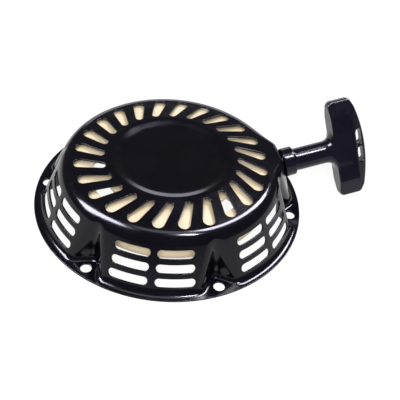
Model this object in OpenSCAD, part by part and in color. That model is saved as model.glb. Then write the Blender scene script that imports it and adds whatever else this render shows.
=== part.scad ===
// Pull-rope recoil starter for a small engine: pressed steel case, sprung rope reel,
// ratchet, and a T grip on a rope. Millimetres, +Z along the crankshaft and away from
// the engine, origin at the centre of the flange face that bolts to the engine.

/* [Case] */
// Outer radius of the bolting flange
flange_r = 110; // [108:1:116]
// Thickness of the pressed steel sheet
sheet = 1.5; // [1.2:0.1:1.8]
// Outer radius of the side wall where it meets the flange
wall_foot_r = 105.2; // [104:0.2:106]
// Lean of the side wall from vertical, in degrees
wall_lean = 24.5; // [23:0.5:26]
// Slope of the top ring, in degrees
top_slope = 7.4; // [6:0.2:8]
// Rounding radius of the shoulder between the top ring and the wall
shoulder_round = 13; // [10:1:16]
// Height of the top ring's inner rim above the flange face
rim_z = 47.8; // [47:0.1:49]
// Radius of the top ring's inner rim
rim_r = 48.5; // [47:0.5:50]
// Radius of the flat floor of the central dish
dish_r = 40; // [38:0.5:42]
// Depth of the central dish below the rim
dish_depth = 2.6; // [1.5:0.1:3.2]

/* [Case openings] */
// Number of slanted slots in the top ring
top_slot_count = 24; // [20:1:26]
// Radius at the inner tip of a top slot
top_slot_in_r = 53.3; // [52:0.1:55]
// Radius at the outer tip of a top slot
top_slot_out_r = 77.2; // [74:0.1:78]
// Half width of a top slot at its inner end
top_slot_in_half = 2.9; // [2.4:0.1:3.2]
// Half width of a top slot at its outer end
top_slot_out_half = 4.6; // [4:0.1:4.8]
// Angle from a top slot's outer tip to its inner tip, in degrees
top_slot_skew = 8.84; // [6:0.1:10]
// Angle of the first top slot's inner tip, in degrees
top_slot_start = 111.2; // [100:0.1:120]
// Half height of a side slot
side_slot_half = 3.1; // [2.6:0.1:3.4]
// Angular width of a side slot, in degrees
side_slot_sweep = 17.4; // [14:0.2:18]

/* [Bolting] */
// Number of bolt holes in the flange
bolt_count = 6; // [6:1:6]
// Radius of the bolt circle
bolt_circle_r = 101.6; // [101:0.1:102.5]
// Diameter of a bolt hole
bolt_hole_d = 8.6; // [8:0.1:9]
// Angle of the first bolt hole, in degrees
bolt_start = -1.8; // [-2.5:0.1:-1]
// Half angle of the pocket that clears each bolt head, in degrees
pocket_half_angle = 48.5; // [46:0.5:50]

/* [Rope outlet] */
// Direction in which the rope leaves, around Z from +X, in degrees
pull_azimuth = 20; // [19:0.5:21]
// Rise of the rope as it leaves, in degrees
pull_rise = 10; // [9.5:0.5:10.5]
// Distance of the outlet face from the centre, along the pull direction
outlet_along = 94.1; // [93.5:0.1:94.5]
// Height of the rope's centre line at the outlet face
outlet_z = 30.5; // [30:0.1:31]

/* [Reel and rope] */
// Outer radius of the reel
reel_r = 81.5; // [80.5:0.5:82]
// Diameter of the starter rope
rope_d = 5; // [4.8:0.1:5]
// Radius of the reel's rope drum
drum_r = 70.5; // [70:0.1:70.5]
// Radius of the shaft that the reel turns on
shaft_r = 9; // [8:0.5:9.5]
// Radial running clearance of the reel bush, the pawl pins and the guide
running_gap = 0.05; // [0.02:0.01:0.1]

/* [Ratchet] */
// Distance of the pawl pins from the centre
pawl_pin_at = 25; // [24.5:0.5:25.5]
// Length of a pawl from its pin to its tip
pawl_length = 24; // [23:0.5:24.5]
// Turn of a pawl from closed to fully out, in degrees
pawl_travel = 28; // [20:1:28]

/* [Grip] */
// Length of the grip's cross bar
bar_length = 83; // [80:1:84]
// Thickness of the cross bar
bar_thick = 18; // [17:0.5:18.5]
// Turn of the cross bar about the stem, in degrees
bar_roll = 27; // [24:1:30]
// Radius of the stem
stem_r = 9.4; // [9:0.1:10]
// Radius of the collar that seats on the case
collar_r = 12; // [11:0.1:12]

/* [Hidden] */
$fn = 96;

BLACK_PAINT = [0.07, 0.07, 0.09];
BLACK_PLASTIC = [0.11, 0.11, 0.15];
NYLON = [0.87, 0.79, 0.65];
STEEL = [0.62, 0.63, 0.65];
SPRING_STEEL = [0.38, 0.39, 0.42];
ROPE_WHITE = [0.93, 0.92, 0.88];

// Heights of the stack inside the case, from the engine side up
SCREW_HEAD_Z = 2.2;
GUIDE_Z = 5.4;
GUIDE_THICK = 2.2;
PAWL_Z = 8.2;
PAWL_THICK = 5;
SHAFT_END_Z = 13.2;
HUB_Z = 13.6;
SPRING_FLOOR_Z = 26;
REEL_TOP_Z = 38.9;
WEB = 2.6;
GROOVE_LOW_Z = 25.7;
GROOVE_HIGH_Z = REEL_TOP_Z - WEB;

ROPE_R = rope_d / 2;
ROPE_PITCH = rope_d + 0.2;
COIL_LOW_Z = GROOVE_LOW_Z + ROPE_R + 0.2;
COIL_HIGH_Z = COIL_LOW_Z + ROPE_PITCH;
COIL_IN_R = drum_r + ROPE_R;
COIL_OUT_R = COIL_IN_R + rope_d - 0.05;
LEAD_R = COIL_IN_R + rope_d + 0.4;
OUTLET_OFFSET = -5;

DISH_Z = rim_z - dish_depth;
POST_FLANGE_Z = DISH_Z - sheet;
BOLT_STEP = 360 / bolt_count;

// ---------- shared shapes ----------

// Straight sides meet round ends a hair inside them, so that they cross instead of just touching
MEET = 0.998;

// Flat slot with round ends, wider at its far end: centres at [0, 0] and [length, 0]
module tapered_slot(length, near_r, far_r) {
    tilt = asin((far_r - near_r) / length);
    near = MEET * near_r;
    far = MEET * far_r;
    circle(near_r);
    translate([length, 0]) circle(far_r);
    polygon([near * [-sin(tilt), cos(tilt)], [length, 0] + far * [-sin(tilt), cos(tilt)],
             [length, 0] + far * [-sin(tilt), -cos(tilt)], near * [-sin(tilt), -cos(tilt)]]);
}

// Slot with round ends between two points of a plane
module slot_between(a, b, r) {
    d = b - a;
    translate(a) rotate(atan2(d.y, d.x)) tapered_slot(norm(d), r, r);
}

// Round rope or wire swept along points; up is a direction that the path never takes
module swept_rope(path, r, sides, up = [0, 0, 1]) {
    last = len(path) - 1;
    function along(i) = path[min(i + 1, last)] - path[max(i - 1, 0)];
    function unit(v) = v / norm(v);
    function ring(i) =
        let (t = unit(along(i)), side = unit(cross(t, up)), top = cross(side, t))
        [for (k = [0:sides - 1]) path[i] + r * (cos(360 * k / sides) * side + sin(360 * k / sides) * top)];
    points = [for (i = [0:last]) each ring(i)];
    skin = [for (i = [0:last - 1]) for (k = [0:sides - 1])
        let (n = (k + 1) % sides) [i * sides + k, i * sides + n, (i + 1) * sides + n, (i + 1) * sides + k]];
    start_cap = [for (k = [sides - 1:-1:0]) k];
    end_cap = [for (k = [0:sides - 1]) last * sides + k];
    polyhedron(points, concat(skin, [start_cap, end_cap]));
}

// Coil spring about Z with flat runs left out
module coil_spring(mean_r, wire_r, low_z, high_z, turns, start = 0) {
    steps = ceil(turns * 18);
    swept_rope([for (i = [0:steps])
        let (a = start + 360 * turns * i / steps)
        [mean_r * cos(a), mean_r * sin(a), low_z + (high_z - low_z) * i / steps]], wire_r, 8);
}

// Places children at the rope outlet: +X along the pull, +Z up across it
module at_outlet() {
    rotate(pull_azimuth) translate([outlet_along, OUTLET_OFFSET, outlet_z]) rotate([0, -pull_rise, 0])
        children();
}

// Places children in the grip's own frame: +X along the pull, +Z along the cross bar
module at_grip() {
    at_outlet() rotate([-bar_roll, 0, 0]) children();
}

// ---------- case ----------

WALL_TAN = tan(wall_lean);
TOP_TAN = tan(top_slope);
CORNER_Z = (rim_z - (wall_foot_r - rim_r) * TOP_TAN) / (1 - WALL_TAN * TOP_TAN);
CORNER_R = wall_foot_r - CORNER_Z * WALL_TAN;
WALL_NORMAL = [cos(wall_lean), sin(wall_lean)];
TOP_NORMAL = [sin(top_slope), cos(top_slope)];
SHOULDER_CENTRE = [CORNER_R, CORNER_Z]
    - shoulder_round * (WALL_NORMAL + TOP_NORMAL) / (1 + WALL_NORMAL * TOP_NORMAL);

// Half section of the bowl, moved in from the outer skin by inset
module bowl_section(inset) {
    corner = [CORNER_R, CORNER_Z] - inset * (WALL_NORMAL + TOP_NORMAL) / (1 + WALL_NORMAL * TOP_NORMAL);
    foot = wall_foot_r - inset / cos(wall_lean);
    low = inset > 0 ? -1 : 0;
    rim_top = rim_z - inset / cos(top_slope);
    difference() {
        polygon([[0, low], [foot - low * WALL_TAN, low], corner, [rim_r, rim_top],
                 [dish_r, DISH_Z - inset], [0, DISH_Z - inset]]);
        difference() {
            polygon([SHOULDER_CENTRE, SHOULDER_CENTRE + (shoulder_round - inset) * WALL_NORMAL,
                     corner + [1, 1], SHOULDER_CENTRE + (shoulder_round - inset) * TOP_NORMAL]);
            translate(SHOULDER_CENTRE) circle(shoulder_round - inset);
        }
    }
}

module bowl(inset) {
    rotate_extrude($fn = 180) bowl_section(inset);
}

// V-shaped tent that clears one bolt head, grown outwards by the sheet for its inner skin
POCKET_TIP_R = 91.3;
POCKET_ROUND = 5;
POCKET_LEAN = 4.7;
module bolt_pocket(grow) {
    r = POCKET_ROUND + grow;
    side = MEET * r;
    reach = 40;
    c = cos(pocket_half_angle);
    s = sin(pocket_half_angle);
    translate([POCKET_TIP_R + POCKET_ROUND, 0, 0]) rotate([0, -POCKET_LEAN, 0]) translate([0, 0, -10])
        linear_extrude(70) {
            circle(r);
            polygon([[0, 0], side * [-s, c], side * [-s, c] + reach * [c, s],
                     side * [-s, -c] + reach * [c, -s], side * [-s, -c]]);
        }
}

module each_bolt() {
    for (i = [0:bolt_count - 1]) rotate(bolt_start + i * BOLT_STEP) children();
}

// Snout that carries the rope outlet: straight flanks leave the bowl at a tangent and run to round
// corners beside the outlet face, all leaning with that face, and its top carries on the slope of the
// top ring
SNOUT_LEFT = 6.5;
SNOUT_RIGHT = -12.5;
SNOUT_CORNER = 7.5;
SNOUT_TANGENT_R = 83.6;
SNOUT_DEPTH = 14;
SNOUT_CENTRES = [[outlet_along - SNOUT_CORNER, SNOUT_LEFT], [outlet_along - SNOUT_CORNER, SNOUT_RIGHT]];
function flank_heading(centre) =
    atan2(centre.y, centre.x) + sign(centre.y) * acos((SNOUT_TANGENT_R - SNOUT_CORNER) / norm(centre));
function heading(a) = [cos(a), sin(a)];
module snout(inset) {
    corner = SNOUT_CORNER - inset;
    bowl_r = SNOUT_TANGENT_R - inset;
    root = 0.75 * bowl_r;
    left = SNOUT_CENTRES[0];
    right = SNOUT_CENTRES[1];
    to_left = heading(flank_heading(left));
    to_right = heading(flank_heading(right));
    top_z = rim_z - inset / cos(top_slope);
    far_r = outlet_along + 30;
    intersection() {
        at_outlet() translate([-outlet_along, -OUTLET_OFFSET, -SNOUT_DEPTH]) linear_extrude(40) {
            for (centre = SNOUT_CENTRES) translate(centre) circle(corner);
            polygon([root * to_right, bowl_r * to_right, right + MEET * corner * to_right,
                     right + [MEET * corner, 0], left + [MEET * corner, 0],
                     left + MEET * corner * to_left, bowl_r * to_left, root * to_left]);
        }
        rotate_extrude($fn = 180) polygon([[rim_r, 0], [far_r, 0],
            [far_r, top_z - (far_r - rim_r) * TOP_TAN], [rim_r, top_z]]);
    }
}

TOP_SLOT_STEP = 360 / top_slot_count;
module top_slots() {
    inner = top_slot_in_r * [cos(top_slot_skew), sin(top_slot_skew)];
    outer = [top_slot_out_r, 0];
    length = norm(outer - inner) - top_slot_in_half - top_slot_out_half;
    heading = atan2(outer.y - inner.y, outer.x - inner.x);
    for (i = [0:top_slot_count - 1])
        rotate(top_slot_start - top_slot_skew - i * TOP_SLOT_STEP)
            translate([inner.x, inner.y, rim_z - 14]) rotate(heading)
                translate([top_slot_in_half, 0, 0]) linear_extrude(20)
                    tapered_slot(length, top_slot_in_half, top_slot_out_half);
}

SIDE_SLOT_ROWS = [10, 20.3, 30.7];
SIDE_SLOT_COLUMNS = [19.9, 40.5];
module side_slots() {
    for (bay = [0:bolt_count - 1]) for (column = SIDE_SLOT_COLUMNS) for (z = SIDE_SLOT_ROWS) {
        under_snout = bay == 0 && column < 30 && z > SIDE_SLOT_ROWS[0];
        half = (wall_foot_r - z * WALL_TAN) * sin(side_slot_sweep / 2) - side_slot_half;
        if (!under_snout) rotate(bolt_start + bay * BOLT_STEP + column) translate([80, 0, z])
            rotate([90, 0, 90]) linear_extrude(35) slot_between([-half, 0], [half, 0], side_slot_half);
    }
}

// Depth of the flat seat pressed into the flange under each bolt head
BOLT_SEAT = 0.1;
module case() {
    color(BLACK_PAINT) difference() {
        union() {
            bowl(0);
            snout(0);
            cylinder(r = flange_r, h = sheet, $fn = 180);
        }
        intersection() {
            each_bolt() bolt_pocket(0);
            translate([0, 0, sheet - BOLT_SEAT]) cylinder(r = flange_r + 20, h = 80);
        }
        difference() {
            union() {
                bowl(sheet);
                snout(sheet);
            }
            each_bolt() bolt_pocket(sheet);
        }
        top_slots();
        side_slots();
        each_bolt() translate([bolt_circle_r, 0, -1]) cylinder(d = bolt_hole_d, h = 8);
        at_outlet() translate([-12, 0, 0]) rotate([0, 90, 0])
            cylinder(r = EYELET_BARREL_R + running_gap, h = 20);
    }
}

// ---------- centre ----------

POST_R = 13;
POST_FLANGE_R = 22;
SCREW_R = 3;
module centre_post() {
    color(STEEL) difference() {
        union() {
            translate([0, 0, POST_FLANGE_Z - 1.6]) cylinder(r = POST_FLANGE_R, h = 1.6);
            translate([0, 0, SPRING_FLOOR_Z + 0.4]) cylinder(r = POST_R, h = POST_FLANGE_Z - SPRING_FLOOR_Z - 0.4);
            translate([0, 0, SHAFT_END_Z]) cylinder(r = shaft_r, h = SPRING_FLOOR_Z - SHAFT_END_Z + 1);
        }
        translate([0, 0, SHAFT_END_Z - 1]) cylinder(r = SCREW_R, h = 17);
        rotate(SPRING_HOOK_AT) translate([POST_R - 3, -0.8, SPRING_FLOOR_Z + 0.8])
            cube([4, 1.6, SPRING_STRIP + 0.6]);
    }
}

WASHER_R = 13;
WASHER_THICK = 1.2;
module thrust_washer() {
    color(STEEL) translate([0, 0, SHAFT_END_Z - WASHER_THICK]) difference() {
        cylinder(r = WASHER_R, h = WASHER_THICK);
        translate([0, 0, -1]) cylinder(r = SCREW_R, h = 4);
    }
}

SHOULDER_R = 6;
module centre_screw() {
    color(STEEL) difference() {
        union() {
            translate([0, 0, SCREW_HEAD_Z]) cylinder(r = 9, h = GUIDE_Z - SCREW_HEAD_Z - 0.3);
            translate([0, 0, SCREW_HEAD_Z]) cylinder(r = SHOULDER_R, h = SHAFT_END_Z - WASHER_THICK - SCREW_HEAD_Z);
            translate([0, 0, SHAFT_END_Z - 2]) cylinder(r = SCREW_R, h = 16);
        }
        translate([0, 0, SCREW_HEAD_Z - 1]) cylinder(r = 3.4, h = 2.8, $fn = 6);
    }
}

// ---------- rope outlet ----------

EYELET_BORE_R = 3.4;
EYELET_BARREL_R = 4.6;
EYELET_LIP_R = 6.6;
module rope_eyelet() {
    color(STEEL) at_outlet() rotate([0, 90, 0]) rotate_extrude() difference() {
        union() {
            translate([EYELET_BORE_R, -sheet - 1.2]) square([EYELET_BARREL_R - EYELET_BORE_R, sheet + 2.4]);
            for (z = [-sheet - 1.2, 0]) {
                translate([EYELET_BORE_R + 0.6, z]) square([EYELET_LIP_R - EYELET_BORE_R - 1.2, 1.2]);
                translate([EYELET_LIP_R - 0.6, z + 0.6]) circle(0.6);
            }
        }
        for (side = [-1, 1]) translate([EYELET_BORE_R - 0.2, -sheet / 2 + side * (sheet / 2 + 1.4)])
            circle(0.9);
    }
}

// The rope from the reel to the outlet: off the drum at a tangent, then round a bend into the eyelet
LEAD_BEND_R = 9;
LEAD_CORNER = [outlet_along - 10, OUTLET_OFFSET];
LEAD_CORNER_Z = outlet_z - 10 * sin(pull_rise);
LEAD_TOUCH = atan2(LEAD_CORNER.y, LEAD_CORNER.x) + acos(LEAD_R / norm(LEAD_CORNER));
LEAD_START = LEAD_R * [cos(LEAD_TOUCH), sin(LEAD_TOUCH)];
LEAD_HEADING = LEAD_TOUCH - 90;
LEAD_TRIM = LEAD_BEND_R * tan(-LEAD_HEADING / 2);
LEAD_STEPS = 8;
function lead_point(xy, z) = [xy.x, xy.y, z];
LEAD_BEND = [for (i = [0:LEAD_STEPS])
    let (a = LEAD_HEADING * (1 - i / LEAD_STEPS),
         p = LEAD_CORNER + [LEAD_TRIM, 0] + LEAD_BEND_R * [sin(a), 1 - cos(a)])
    lead_point(p, LEAD_CORNER_Z + max(0, p.x - LEAD_CORNER.x) * tan(pull_rise))];
LEAD_RUN = [for (i = [0:5])
    let (t = i / 6, end = LEAD_BEND[0])
    [LEAD_START.x + (end.x - LEAD_START.x) * t, LEAD_START.y + (end.y - LEAD_START.y) * t,
     COIL_LOW_Z + (end.z - COIL_LOW_Z) * t]];
HANDLE_ROPE_X = -3.5;
LEAD_END_X = HANDLE_ROPE_X - 0.6;
LEAD_END = [outlet_along + LEAD_END_X * cos(pull_rise), OUTLET_OFFSET, outlet_z + LEAD_END_X * sin(pull_rise)];
module rope_lead() {
    color(ROPE_WHITE) rotate(pull_azimuth) swept_rope(concat(LEAD_RUN, LEAD_BEND, [LEAD_END]), ROPE_R, 12);
}

// ---------- reel ----------

BUSH_R = shaft_r + 2;
BOWL_R = 42;
DRUM_WALL = 2.4;
RIM_LOW_Z = 17;
HUB_R = 15;
module reel_section() {
    translate([BUSH_R, HUB_Z]) square([HUB_R - BUSH_R, SPRING_FLOOR_Z - HUB_Z]);
    translate([BUSH_R, SPRING_FLOOR_Z - 3.6]) square([BOWL_R + 3 - BUSH_R, 3.6]);
    translate([BOWL_R, SPRING_FLOOR_Z - 3.6]) square([3, REEL_TOP_Z - SPRING_FLOOR_Z + 3.6]);
    translate([BOWL_R, GROOVE_HIGH_Z]) square([reel_r - BOWL_R - 0.8, WEB]);
    translate([BOWL_R, GROOVE_HIGH_Z + 0.8]) square([reel_r - BOWL_R, WEB - 1.6]);
    translate([reel_r - 0.8, REEL_TOP_Z - 0.8]) circle(0.8);
    translate([reel_r - 0.8, GROOVE_HIGH_Z + 0.8]) circle(0.8);
    translate([drum_r - DRUM_WALL, GROOVE_LOW_Z - WEB]) square([DRUM_WALL, REEL_TOP_Z - GROOVE_LOW_Z + WEB]);
    translate([drum_r - DRUM_WALL, GROOVE_LOW_Z - WEB]) square([reel_r - drum_r + DRUM_WALL, WEB]);
    translate([reel_r - 2.2, RIM_LOW_Z]) square([2.2, GROOVE_LOW_Z - RIM_LOW_Z]);
    translate([32, HUB_Z]) square([2.4, SPRING_FLOOR_Z - HUB_Z]);
}

// Lightening windows through the reel's top web, and the pocket for the rope's inner knot
WINDOW_AT = [-40, -139];
WINDOW_HALF = 6.5;
WINDOW_IN_R = 55;
WINDOW_OUT_R = 67;
KNOT_AT = -170;
KNOT_R = 61;
module window_sector() {
    intersection() {
        difference() {
            circle(WINDOW_OUT_R);
            circle(WINDOW_IN_R);
        }
        polygon([[0, 0], 90 * [cos(WINDOW_HALF), -sin(WINDOW_HALF)], 90 * [cos(WINDOW_HALF), sin(WINDOW_HALF)]]);
    }
}

RIB_AT = -10;
RIB_COUNT = 6;
PIN_R = 2.5;
PIN_BOSS_R = 5.6;
PAWL_ANGLES = [0, 180];
module reel() {
    color(NYLON) difference() {
        union() {
            rotate_extrude($fn = 180) reel_section();
            for (i = [0:RIB_COUNT - 1]) rotate(RIB_AT + i * 360 / RIB_COUNT)
                translate([BOWL_R + 2, -1, SPRING_FLOOR_Z - 3])
                    cube([drum_r - DRUM_WALL - BOWL_R - 1, 2, REEL_TOP_Z - SPRING_FLOOR_Z + 2]);
            for (a = PAWL_ANGLES) rotate(a) translate([pawl_pin_at, 0, HUB_Z])
                cylinder(r = PIN_BOSS_R, h = SPRING_FLOOR_Z - HUB_Z - 1);
        }
        for (a = WINDOW_AT) rotate(a) translate([0, 0, GROOVE_HIGH_Z - 1]) linear_extrude(6) window_sector();
        rotate(KNOT_AT) translate([KNOT_R - 4, 0, GROOVE_HIGH_Z - 1]) cylinder(r = 5, h = 6);
        rotate(KNOT_AT) translate([KNOT_R, 0, COIL_LOW_Z]) rotate([0, 90, 0]) cylinder(r = ROPE_R + 0.1, h = 12);
        for (a = PAWL_ANGLES) rotate(a) translate([pawl_pin_at, 0, HUB_Z - 1])
            cylinder(r = PIN_R + running_gap, h = 9.4);
        rotate(SPRING_ANCHOR_AT) translate([BOWL_R - 1.5, -0.9, SPRING_FLOOR_Z + 0.5])
            cube([3, 1.8, SPRING_STRIP + 0.8]);
    }
}

module reel_bush() {
    color([0.72, 0.55, 0.3]) translate([0, 0, HUB_Z]) difference() {
        cylinder(r = BUSH_R, h = SPRING_FLOOR_Z - HUB_Z - 0.2);
        translate([0, 0, -1]) cylinder(r = shaft_r + running_gap, h = 30);
    }
}

// Flat spiral spring: one strip from the post's notch out to the reel's notch
SPRING_STRIP = 10;
SPRING_THICK = 0.8;
SPRING_TURNS = 9;
SPRING_IN_R = POST_R + 0.6;
SPRING_OUT_R = BOWL_R - 1.2;
SPRING_HOOK_AT = 30;
SPRING_ANCHOR_AT = SPRING_HOOK_AT;
SPRING_STEPS = SPRING_TURNS * 20;
function spiral(i, shift) =
    let (t = i / SPRING_STEPS, r = SPRING_IN_R + (SPRING_OUT_R - SPRING_IN_R) * t + shift,
         a = SPRING_HOOK_AT + 360 * SPRING_TURNS * t)
    r * [cos(a), sin(a)];
module spiral_spring() {
    hook = SPRING_IN_R * heading(SPRING_HOOK_AT);
    anchor = SPRING_OUT_R * heading(SPRING_ANCHOR_AT);
    color(SPRING_STEEL) translate([0, 0, SPRING_FLOOR_Z + 1.1]) {
        linear_extrude(SPRING_STRIP)
            polygon(concat([for (i = [0:SPRING_STEPS]) spiral(i, 0)],
                           [for (i = [SPRING_STEPS:-1:0]) spiral(i, SPRING_THICK)]));
        translate(hook) rotate(SPRING_HOOK_AT) translate([-2, -0.1, 0.2])
            cube([2.4, SPRING_THICK, SPRING_STRIP - 0.4]);
        translate(anchor) rotate(SPRING_ANCHOR_AT) translate([0.2, -0.7, 0.2])
            cube([2.2, SPRING_THICK, SPRING_STRIP - 0.4]);
    }
}

module rope_coil() {
    color(ROPE_WHITE) rotate_extrude($fn = 180) {
        for (z = [COIL_LOW_Z, COIL_HIGH_Z]) translate([COIL_IN_R + 0.05, z]) circle(ROPE_R, $fn = 32);
        translate([COIL_OUT_R + 0.05, COIL_HIGH_Z]) circle(ROPE_R, $fn = 32);
        translate([COIL_IN_R - 1, COIL_LOW_Z]) square([2, ROPE_PITCH]);
        translate([COIL_IN_R, COIL_HIGH_Z - 1]) square([rope_d, 2]);
    }
}

// Stop knot on the rope's inner end, inside the reel, with the rope through the drum wall
module reel_knot() {
    color(ROPE_WHITE) rotate(KNOT_AT) translate([KNOT_R, 0, COIL_LOW_Z]) rotate([0, 90, 0]) {
        translate([0, 0, -2]) cylinder(r = ROPE_R, h = drum_r - KNOT_R + 1.8);
        for (side = [-1, 1]) translate([side * 1.6, side, -0.4]) sphere(r = 4.2, $fn = 48);
    }
}

// ---------- ratchet ----------

PEG_R = 1.6;
PEG_AT = [-1, -10];
PAWL_TIP = [-3, -pawl_length];
function turned(p, a) = [p.x * cos(a) - p.y * sin(a), p.x * sin(a) + p.y * cos(a)];

// Pawl drawn about its pin, closed, with its tip towards -Y
module pawl_shape() {
    translate([0, 0, PAWL_Z]) linear_extrude(PAWL_THICK) {
        circle(5);
        polygon([[4.9, -1], [4.4, -9], [1.8, PAWL_TIP.y + 1], PAWL_TIP + [3.4, -0.4], PAWL_TIP + [-2.2, 0.6],
                 PAWL_TIP + [-2.6, 4], [-5.2, -10], [-4.9, -1]]);
    }
    translate([0, 0, PAWL_Z + PAWL_THICK - 1]) cylinder(r = PIN_R, h = 9, $fn = 48);
    translate([PEG_AT.x, PEG_AT.y, GUIDE_Z + 0.2]) cylinder(r = PEG_R, h = PAWL_Z - GUIDE_Z, $fn = 48);
}

module pawl(angle) {
    color(STEEL) rotate(angle) translate([pawl_pin_at, 0, 0]) pawl_shape();
}
module pawl_a() { pawl(PAWL_ANGLES[0]); }
module pawl_b() { pawl(PAWL_ANGLES[1]); }

// Torsion spring round each pin boss, between the boss rib and the pawl
module pawl_spring(angle) {
    color(SPRING_STEEL) rotate(angle) translate([pawl_pin_at, 0, 0])
        coil_spring(PIN_BOSS_R + 0.8, 0.45, HUB_Z + 1.2, HUB_Z + 4.4, 3, 100);
}
module pawl_spring_a() { pawl_spring(PAWL_ANGLES[0]); }
module pawl_spring_b() { pawl_spring(PAWL_ANGLES[1]); }

// Where the pawl's peg runs in the guide as both turn through the same angle
SLOT_STEPS = 5;
function peg_in_guide(a) = turned([pawl_pin_at, 0] + turned(PEG_AT, a), -a);
GUIDE_R = 33.5;
GUIDE_HUB_R = 9.6;
module ratchet_guide() {
    over = 2;
    color(NYLON) difference() {
        union() {
            translate([0, 0, GUIDE_Z]) cylinder(r = GUIDE_R, h = GUIDE_THICK);
            translate([0, 0, GUIDE_Z]) cylinder(r = GUIDE_HUB_R, h = 4);
        }
        translate([0, 0, GUIDE_Z - 1]) {
            cylinder(r = SHOULDER_R + running_gap, h = 10);
            linear_extrude(GUIDE_THICK + 2) for (a = PAWL_ANGLES) rotate(a) for (i = [0:SLOT_STEPS - 1]) {
                span = pawl_travel + 2 * over;
                slot_between(peg_in_guide(span * i / SLOT_STEPS - over),
                             peg_in_guide(span * (i + 1) / SLOT_STEPS - over), PEG_R + 0.35);
            }
            for (a = [60, 120, 240, 300]) rotate(a) translate([22, 0, 0]) cylinder(r = 5, h = 8);
        }
    }
}

module friction_spring() {
    color(SPRING_STEEL) coil_spring(7.6, 0.4, GUIDE_Z + 4.5, SHAFT_END_Z - WASHER_THICK - 0.5, 1.5);
}

// ---------- grip ----------

STEM_START = 0.6;
COLLAR_LENGTH = 11;
BAR_IN_X = 45.5;
BAR_OUT_X = 73.5;
BAR_RIDGE_X = 62.5;
BAR_FACE_HALF = 28;
BAR_END_X = 64.5;
PALM_THICK = 6;
PALM_R = ((bar_length / 2) * (bar_length / 2) + (BAR_OUT_X - BAR_END_X) * (BAR_OUT_X - BAR_END_X))
    / (2 * (BAR_OUT_X - BAR_END_X));
NECK_ROUND = 9;

// Outline of the T seen square on: stem along +X, bar along Y, palm edge an arc
module grip_outline() {
    half = bar_length / 2;
    intersection() {
        translate([BAR_OUT_X - PALM_R, 0]) circle(PALM_R, $fn = 180);
        union() {
            translate([BAR_IN_X + 6, -half]) square([40, bar_length]);
            translate([BAR_IN_X, -half + 6]) square([40, bar_length - 12]);
            for (side = [-1, 1]) translate([BAR_IN_X + 6, side * (half - 6)]) circle(6);
            difference() {
                translate([BAR_IN_X - NECK_ROUND, -stem_r - NECK_ROUND])
                    square([NECK_ROUND + 1, 2 * (stem_r + NECK_ROUND)]);
                for (side = [-1, 1]) translate([BAR_IN_X - NECK_ROUND, side * (stem_r + NECK_ROUND)])
                    circle(NECK_ROUND);
            }
        }
    }
}

// Section of the bar square to its length: flat faces, slopes to the palm edge, round finger side
module bar_section() {
    half = bar_thick / 2;
    palm = PALM_THICK / 2;
    polygon([[BAR_IN_X - NECK_ROUND - 2, -half], [BAR_RIDGE_X, -half], [BAR_OUT_X - 1, -palm],
             [BAR_OUT_X + 1, -palm + 2], [BAR_OUT_X + 1, palm - 2], [BAR_OUT_X - 1, palm],
             [BAR_RIDGE_X, half], [BAR_IN_X - NECK_ROUND - 2, half]]);
}

// Side view of the bar: flat over its middle, bevelled towards both ends
module bar_side() {
    half = bar_thick / 2;
    end = bar_length / 2 + 1;
    polygon([[-end, -3.2], [-BAR_FACE_HALF, -half], [BAR_FACE_HALF, -half], [end, -3.2],
             [end, 3.2], [BAR_FACE_HALF, half], [-BAR_FACE_HALF, half], [-end, 3.2]]);
}

WINDOW_X = [64.8, 71.3];
WINDOW_HALF_Z = 16;
KNOT_X = 58;
module handle_grip() {
    color(BLACK_PLASTIC) at_grip() difference() {
        union() {
            intersection() {
                rotate([90, 0, 0]) translate([0, 0, -20]) linear_extrude(40) grip_outline();
                translate([0, 0, -60]) linear_extrude(120) bar_section();
                rotate([90, 0, 90]) linear_extrude(100) rotate(90) bar_side();
            }
            rotate([0, 90, 0]) {
                translate([0, 0, STEM_START]) cylinder(r = stem_r, h = BAR_IN_X);
                translate([0, 0, STEM_START]) cylinder(r = collar_r, h = COLLAR_LENGTH - 2);
                translate([0, 0, STEM_START + COLLAR_LENGTH - 2])
                    cylinder(r1 = collar_r, r2 = stem_r, h = 2);
            }
        }
        rotate([0, 90, 0]) {
            cylinder(r = EYELET_LIP_R + 1, h = STEM_START + 2);
            cylinder(r = ROPE_R + 0.4, h = KNOT_X);
            translate([0, 0, KNOT_X - 8]) cylinder(r = 7, h = WINDOW_X[0] - KNOT_X + 9);
        }
        for (side = [-1, 1]) rotate([90, 0, 0]) translate([0, 0, -20]) linear_extrude(40)
            slot_between([(WINDOW_X[0] + WINDOW_X[1]) / 2, side * (WINDOW_HALF_Z - 3.2)],
                         [(WINDOW_X[0] + WINDOW_X[1]) / 2, side * 4.8], (WINDOW_X[1] - WINDOW_X[0]) / 2);
    }
}

module handle_rope() {
    color(ROPE_WHITE) at_grip() translate([HANDLE_ROPE_X, 0, 0]) rotate([0, 90, 0])
        cylinder(r = ROPE_R, h = KNOT_X - 4 - HANDLE_ROPE_X, $fn = 32);
}

module knot_washer() {
    color(STEEL) at_grip() translate([KNOT_X - 8, 0, 0]) rotate([0, 90, 0]) difference() {
        cylinder(r = 6.6, h = 1.2);
        translate([0, 0, -1]) cylinder(r = ROPE_R + 0.05, h = 4);
    }
}

module handle_knot() {
    color(ROPE_WHITE) at_grip() translate([KNOT_X, 0, 0]) difference() {
        for (side = [-1, 1]) translate([0.4, side * 0.9, side * 1.8]) sphere(r = 4.4, $fn = 48);
        translate([-10, 0, 0]) rotate([0, 90, 0]) cylinder(r = ROPE_R, h = 6);
    }
}

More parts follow.
